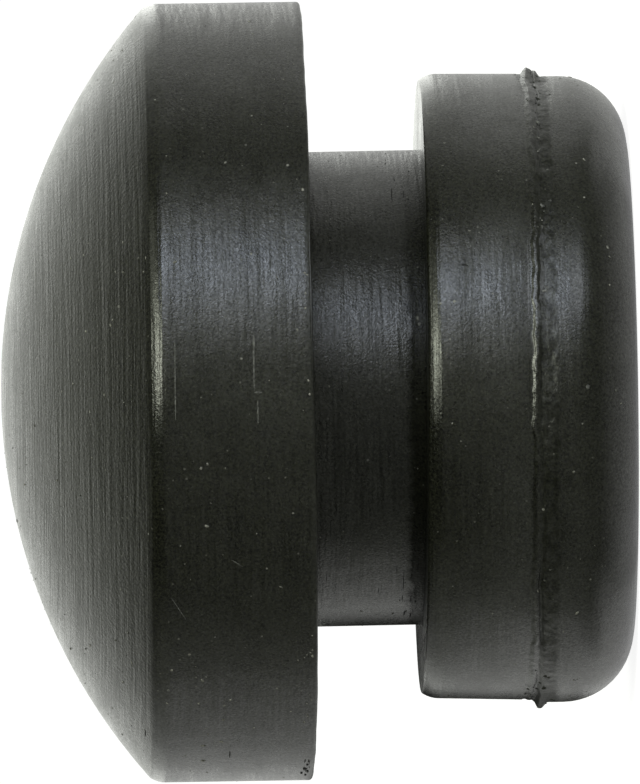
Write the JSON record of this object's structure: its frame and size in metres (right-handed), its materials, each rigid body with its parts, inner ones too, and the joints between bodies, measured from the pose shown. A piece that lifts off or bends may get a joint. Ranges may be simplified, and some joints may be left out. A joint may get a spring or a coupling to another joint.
{
  "type": "push-in rubber plug",
  "caption": "Domed rubber plug that pushes into a round panel hole: crowned head, neck groove and rounded retaining flange, moulded in one piece.",
  "frame": {"origin": "centre of the flange's flat end, on the surface that the plug stands on", "axes": "+Z along the plug's axis towards the crown of the head; +X through one torn flash nib, -X through the other"},
  "size_m": [0.025, 0.025, 0.0201],
  "materials": {
    "black_rubber": "semi-gloss moulded black rubber with fine turned rings"
  },
  "bodies": {
    "root": {"plug": "black_rubber"}
  },
  "joints": []
}
